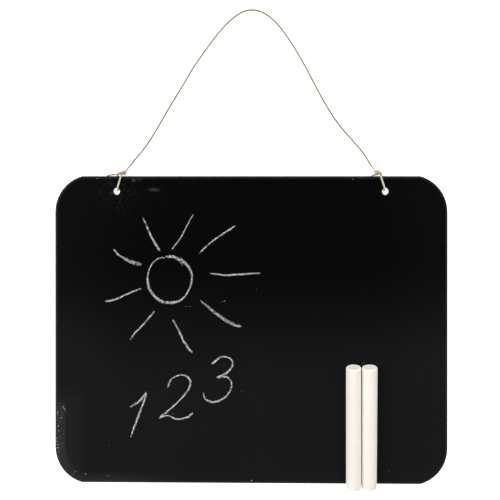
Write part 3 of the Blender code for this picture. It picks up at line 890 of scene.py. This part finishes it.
# Chalk drawing: pixel places in the photo, each with the stroke's width in pixels
drawing = {
    "circle": [
        (164.7, 257.6, 1.3), (158.4, 258.5, 1.3), (151.8, 264.3, 1.2), (148.4, 272.9, 1.4),
        (147.6, 280.7, 2.6), (149.2, 288.0, 3.1), (153.1, 294.5, 3.4), (160.4, 300.7, 3.6),
        (170.2, 302.7, 3.5), (179.2, 300.9, 2.5), (185.3, 295.6, 1.9), (190.2, 286.8, 1.8),
        (192.0, 277.4, 2.0), (190.6, 270.9, 2.4), (185.7, 263.5, 3.1), (179.2, 258.6, 3.0),
        (172.2, 256.6, 3.2), (165.7, 256.4, 3.0),
    ],
    "innerTail": [(173.5, 257.4, 1.4), (179.2, 260.7, 1.2), (182.9, 266.0, 0.8)],
    "rays": [
        [(142.5, 217.1, 1.6), (146.8, 226.1, 1.8), (151.1, 236.4, 2.3), (155.5, 244.0, 2.5),
         (159.8, 251.1, 2.5)],
        [(192.9, 214.8, 1.4), (186.4, 226.7, 1.5), (181.5, 236.4, 1.3), (176.1, 244.0, 1.2),
         (171.9, 249.5, 1.1)],
        [(235.5, 225.6, 1.5), (228.1, 230.5, 2.2), (220.5, 235.4, 1.8), (212.9, 240.8, 1.8),
         (204.8, 247.8, 1.8), (199.4, 253.2, 1.4)],
        [(209.7, 273.3, 1.2), (217.3, 274.2, 1.6), (228.1, 275.3, 2.4), (234.6, 274.6, 2.5),
         (243.3, 274.4, 2.3), (252.0, 273.5, 1.8), (260.4, 273.3, 1.7)],
        [(200.5, 300.6, 1.5), (206.4, 305.5, 2.4), (212.9, 311.2, 3.0), (220.5, 316.7, 3.3),
         (228.1, 321.9, 4.1), (235.7, 325.3, 3.9), (241.3, 326.6, 2.2)],
        [(172.6, 319.4, 1.5), (177.1, 327.5, 1.9), (181.5, 336.2, 2.6), (185.8, 344.9, 3.2),
         (192.3, 353.0, 3.0)],
        [(154.4, 311.3, 1.8), (149.0, 317.8, 2.0), (142.5, 325.3, 1.9), (135.9, 331.8, 1.9),
         (130.5, 339.4, 1.4)],
        [(141.7, 288.3, 1.5), (133.8, 291.2, 1.9), (126.2, 294.4, 2.1), (117.5, 298.5, 2.1),
         (109.9, 300.9, 2.2), (105.4, 301.3, 2.2)],
        [(113.5, 248.9, 1.4), (118.1, 254.3, 2.2), (124.0, 258.3, 3.0), (130.5, 261.4, 3.9),
         (135.9, 263.5, 4.3), (141.2, 264.4, 3.9)],
    ],
    # plain numbers 1 2 3, each stroke in shares of their height, across and up from the foot of each
    "digitShares": [
        [[(-0.16, 0.66), (0.02, 0.80), (0.14, 1.00)],
         [(0.14, 1.00), (0.10, 0.66), (0.04, 0.30), (0.0, -0.02)]],
        [[(-0.26, 0.72), (-0.20, 0.92), (0.02, 1.0), (0.22, 0.88), (0.22, 0.66), (0.06, 0.40),
          (-0.14, 0.18), (-0.30, 0.02)],
         [(-0.30, 0.02), (-0.12, 0.08), (0.10, 0.0), (0.34, 0.04), (0.44, 0.14)]],
        [[(-0.26, 0.84), (-0.08, 1.0), (0.14, 0.96), (0.22, 0.80), (0.10, 0.62), (-0.08, 0.54)],
         [(-0.08, 0.54), (0.16, 0.54), (0.30, 0.36), (0.24, 0.12), (0.0, -0.02), (-0.22, 0.04),
          (-0.32, 0.20)]],
    ],
    "digitFeet": [(131, 436), (172, 419), (215, 401)], "digitHeight": 44, "digitLean": 0.22,
    # their width, and how the pressure on them varies along a stroke
    "digitWidth": 2.4, "pressure": 0.85, "pressureSway": 0.25, "pressureBeat": 1.7,
    # faint smears and specks that a cloth left
    "smears": [
        [(221, 301.9, 1.1), (224.5, 301.4, 1.4), (228, 300.8, 1.1)], [(185, 306.4, 0.9), (191, 306.3, 0.9)],
        [(256.2, 289.4, 0.9), (257.8, 289.6, 0.9)], [(173, 376.4, 1.2), (175, 376.4, 1.2)],
        [(172.5, 413.8, 1.2), (174.5, 413.8, 1.0)], [(241, 391, 1.2), (243, 391, 1.2)],
        [(107.6, 445, 1.4), (109.6, 445, 1.4)], [(60.5, 417.6, 1.8), (62.5, 418.2, 1.8)],
        [(330, 479.3, 1.4), (332, 479.3, 1.2)], [(107, 475, 1.4), (109.5, 477.5, 1.2)],
        [(73.5, 473.5, 1.2), (76, 471, 1.0)],
    ],
    "specks": [
        (57.6, 412.5, 3.2), (63.4, 406.9, 1.3), (64.4, 408.6, 1.1), (65.4, 410.4, 1.0),
        (389.3, 471.1, 0.9), (58.2, 426.0, 1.3), (58.7, 430.8, 1.5), (56.7, 441.3, 1.5),
        (57.3, 444.4, 1.5), (57.8, 447.7, 1.5), (58.8, 456.8, 1.5), (56.6, 438.2, 1.5),
        (59.4, 438.5, 1.5), (85.8, 473.7, 0.6), (106.4, 480.6, 1.5), (97.5, 178.5, 1.2),
        (352.8, 179, 0.7), (347.0, 362.6, 0.6), (363.4, 363.0, 0.5), (251.5, 480.4, 1.5),
    ],
    "speckReach": 0.3,
    "sightRounds": 4,  # in which a line of sight settles on the leaning face
    # the strokes' ribbons, in metres: their ends narrow to a share of the width over the taper
    "step": 0.0002, "lift": 0.00003, "widthShare": 0.90, "tipShare": 0.4, "taper": 0.0012,
    "ribs": 7, "broadRamp": (0.0007, 0.0012),
    # grains, and the noise level below which the ribbon is bare, raised at its edges and in its middle
    "spacing": 0.00014, "density": 60000000.0, "patch": 0.0008, "patchDetail": (3.0, 0.75),
    "bareEdge": 0.16, "bareMiddle": 0.07, "edgePower": 3.0,
    "grain": 0.000135, "grainSizes": ((0.6, 0.6, 0.3), (1.5, 1.5, 0.6)), "grainLean": 0.5,
    "grainSegments": 5, "grainRings": 2,
}


def fromPhoto(pixelX, pixelY):
    # where the line of sight through a pixel meets the writing face
    half = camera["photoPixels"] / 2
    across = (pixelX - half) / camera["photoPixels"] * camera["photoWidth"]
    up = ((half - pixelY) / camera["photoPixels"] + camera["shift"]) * camera["photoWidth"]
    eye = Vector((*camera["over"], camera["height"]))
    turn = scene.camera.rotation_euler.to_matrix()
    way = turn @ Vector((across, up, camera["faceHeight"] - camera["height"]))
    height = camera["faceHeight"]
    for attempt in range(drawing["sightRounds"]):
        place = eye + way * ((height - eye.z) / way.z)
        height = faceHeight(place.y)
    return place


def strokeLines(name, routes):
    pixel = camera["photoWidth"] / camera["photoPixels"]
    step, tip = drawing["step"], drawing["tipShare"]
    lines, widths = [], []
    for route in routes:
        points = [fromPhoto(x, y)[:2] for x, y, width in route]
        line = smoothLine(points, step, [(width * pixel / 2,) for x, y, width in route])
        lines.append([(x, y, faceHeight(y) + drawing["lift"]) for x, y, width in line])
        fromEnd = [min(index, len(line) - 1 - index) * step for index in range(len(line))]
        tapers = [min(1.0, tip + (1 - tip) * distance / drawing["taper"]) for distance in fromEnd]
        widths.append([
            width * drawing["widthShare"] * taper for (x, y, width), taper in zip(line, tapers)
        ])
    return lineMesh(name, lines, widths)


def strokeRibbon(tree, line):
    # a ribbon as broad as its stroke, how far from its middle a place is, and whether it is broad there
    width = take(tree, "GeometryNodeInputNamedAttribute", {"Name": "halfWidth"})
    line = take(tree, "GeometryNodeSetCurveNormal", {"Curve": line}, mode="Z_UP")
    rod = take(tree, "GeometryNodeCurvePrimitiveLine", {"Start": (-1, 0, 0), "End": (1, 0, 0)})
    rod = take(tree, "GeometryNodeResampleCurve", {"Curve": rod, "Count": drawing["ribs"]})
    rodX = split(tree, take(tree, "GeometryNodeInputPosition"))[0]
    rod, across = capture(tree, rod, rodX)
    line, broad = capture(tree, line, smoothStep(tree, width, *drawing["broadRamp"]))
    inputs = {"Curve": line, "Profile Curve": rod, "Scale": width}
    ribbon = take(tree, "GeometryNodeCurveToMesh", inputs)
    return ribbon, calc(tree, "ABSOLUTE", across), broad


def chalkStrokeTree():
    # ribbons sown with flat grains, which thin out at the sides and in patches
    tree, given = newTree("chalk stroke", [
        ("Spacing", "Float"), ("Grain", "Float"), ("Patch", "Float"), ("Bare", "Float"),
        ("Bare Edge", "Float"), ("Bare Middle", "Float"), ("Seed", "Int"), ("Material", "Material"),
    ])
    line = take(tree, "GeometryNodeMeshToCurve", {"Mesh": given["Geometry"]})
    ribbon, across, broad = strokeRibbon(tree, line)
    sown = take(tree, "GeometryNodeDistributePointsOnFaces", {
        "Mesh": ribbon, "Distance Min": given["Spacing"], "Density Max": drawing["density"],
        "Density Factor": 1.0, "Seed": given["Seed"],
    }, distribute_method="POISSON")
    place = take(tree, "GeometryNodeInputPosition")
    patches = noiseAt(tree, place, given["Patch"], *drawing["patchDetail"])
    edge = calc(tree, "POWER", across, drawing["edgePower"])
    limit = calc(tree, "ADD", given["Bare"], product(tree, edge, given["Bare Edge"]))
    middle = product(tree, broad, calc(tree, "SUBTRACT", 1.0, across))
    limit = calc(tree, "ADD", limit, product(tree, middle, given["Bare Middle"]))
    inputs = {"Geometry": sown, "Selection": calc(tree, "LESS_THAN", patches, limit)}
    kept = take(tree, "GeometryNodeDeleteGeometry", inputs, domain="POINT")
    inputs = {"Segments": drawing["grainSegments"], "Rings": drawing["grainRings"], "Radius": 1.0}
    grain = take(tree, "GeometryNodeMeshUVSphere", inputs)
    turn = randomTurn(tree, drawing["grainLean"], given["Seed"])
    size = randomVector(tree, *drawing["grainSizes"], given["Seed"])
    size = vectorCalc(tree, "SCALE", size, scale=given["Grain"])
    inputs = {"Points": kept, "Instance": grain, "Rotation": turn, "Scale": size}
    grains = take(tree, "GeometryNodeInstanceOnPoints", inputs)
    endTree(tree, grains, given["Material"])
    return tree


def digitRoutes():
    routes = []
    height, lean = drawing["digitHeight"], drawing["digitLean"]
    for (footX, footY), digit in zip(drawing["digitFeet"], drawing["digitShares"]):
        for stroke in digit:
            route = []
            for index, (across, up) in enumerate(stroke):
                sway = math.sin(index * drawing["pressureBeat"] + footX)
                width = drawing["digitWidth"] * (drawing["pressure"] + drawing["pressureSway"] * sway)
                route.append((footX + (across + up * lean) * height, footY - up * height, width))
            routes.append(route)
    return routes


def speckRoutes():
    reach = drawing["speckReach"]
    return [[(x - reach, y, width), (x + reach, y, width)] for x, y, width in drawing["specks"]]


strokeTree = chalkStrokeTree()
strokeValues = {
    "Spacing": drawing["spacing"], "Grain": drawing["grain"], "Patch": drawing["patch"],
    "Bare Edge": drawing["bareEdge"], "Bare Middle": drawing["bareMiddle"],
}
for name, routes, bare, seed in (
    ("chalk_circle", [drawing["circle"], drawing["innerTail"]], 0.44, 4),
    ("chalk_rays", drawing["rays"], 0.44, 9),
    ("chalk_numbers", digitRoutes(), 0.44, 14),
    ("chalk_smears", drawing["smears"], 0.54, 21),
    ("chalk_specks", speckRoutes(), 0.05, 25),
):
    values = {**strokeValues, "Bare": bare, "Seed": seed}
    drawn = grow(name, strokeLines(name + "_lines", routes), strokeTree, values, materials["dust"])
    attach(drawn, "board")
print("drawing made")


# Table, backdrop and lights
studio = {
    "floorColour": (0.80, 0.80, 0.80), "whitening": 0.88,
    "floorRadius": 2.2, "wallRadius": 2.9, "wallHeight": 1.7, "bendSteps": 8, "sides": 64,
    "sky": 0.25,
    # direction in degrees from +X, height above the table in degrees, distance, size, share of the light
    "lamps": [
        ("left", 158, 34, 1.5, 1.3, 0.385),
        ("right", 28, 34, 1.5, 1.3, 0.243),
        ("top", 95, 36, 1.5, 1.3, 0.268),
        ("front", 265, 40, 1.5, 1.3, 0.05),
    ],
}


def makePaleFinish():
    # plain, with a glow that only the camera and shiny or clear things see
    made = bpy.data.materials.new("pale floor")
    made.use_nodes = True
    tree = made.node_tree
    tree.nodes.clear()
    rays = put(tree, "ShaderNodeLightPath").outputs
    seen = calc(tree, "MAXIMUM", rays["Is Glossy Ray"], rays["Is Transmission Ray"])
    seen = calc(tree, "MAXIMUM", rays["Is Camera Ray"], seen)
    strength = product(tree, seen, studio["whitening"])
    plain = take(tree, "ShaderNodeBsdfDiffuse", {"Color": shade(studio["floorColour"])})
    glow = take(tree, "ShaderNodeEmission", {"Strength": strength})
    both = take(tree, "ShaderNodeAddShader", {0: plain, 1: glow})
    put(tree, "ShaderNodeOutputMaterial", {"Surface": both})
    return made


def makeFloor():
    # a round floor that bends up into a wall
    profile = [(studio["floorRadius"], 0.0)]
    rise = studio["wallRadius"] - studio["floorRadius"]
    for step in range(1, studio["bendSteps"] + 1):
        angle = math.pi / 2 * step / studio["bendSteps"]
        profile.append((studio["floorRadius"] + rise * math.sin(angle), rise * (1 - math.cos(angle))))
    profile.append((studio["wallRadius"], studio["wallHeight"]))
    vertices = [(0, 0, 0)]
    for radius, height in profile:
        for side in range(studio["sides"]):
            angle = 2 * math.pi * side / studio["sides"]
            vertices.append((radius * math.cos(angle), radius * math.sin(angle), height))
    data = bpy.data.meshes.new("floor")
    data.from_pydata(vertices, [], turnedFaces(len(profile), studio["sides"]))
    data.shade_smooth()
    data.materials.append(makePaleFinish())
    floor = bpy.data.objects.new("floor", data)
    scene.collection.objects.link(floor)


def makeLamp(name, heading, elevation, distance, size, level):
    heading, elevation = math.radians(heading), math.radians(elevation)
    flat = math.cos(elevation)
    way = Vector((math.cos(heading) * flat, math.sin(heading) * flat, math.sin(elevation)))
    data = bpy.data.lights.new(name, "AREA")
    data.shape = "SQUARE"
    data.size = size
    # enough that this lamp alone shows a white table at its level
    data.energy = level * math.pi**2 * distance**2 / math.sin(elevation)
    lamp = bpy.data.objects.new(name, data)
    lamp.location = way * distance
    lamp.rotation_euler = way.to_track_quat("Z", "Y").to_euler()
    scene.collection.objects.link(lamp)


def makeSky():
    world = bpy.data.worlds.new("studio")
    scene.world = world
    world.use_nodes = True
    background = world.node_tree.nodes["Background"]
    background.inputs["Color"].default_value = (1, 1, 1, 1)
    background.inputs["Strength"].default_value = studio["sky"]


makeFloor()
makeSky()
for lamp in studio["lamps"]:
    makeLamp(*lamp)
print("studio made")
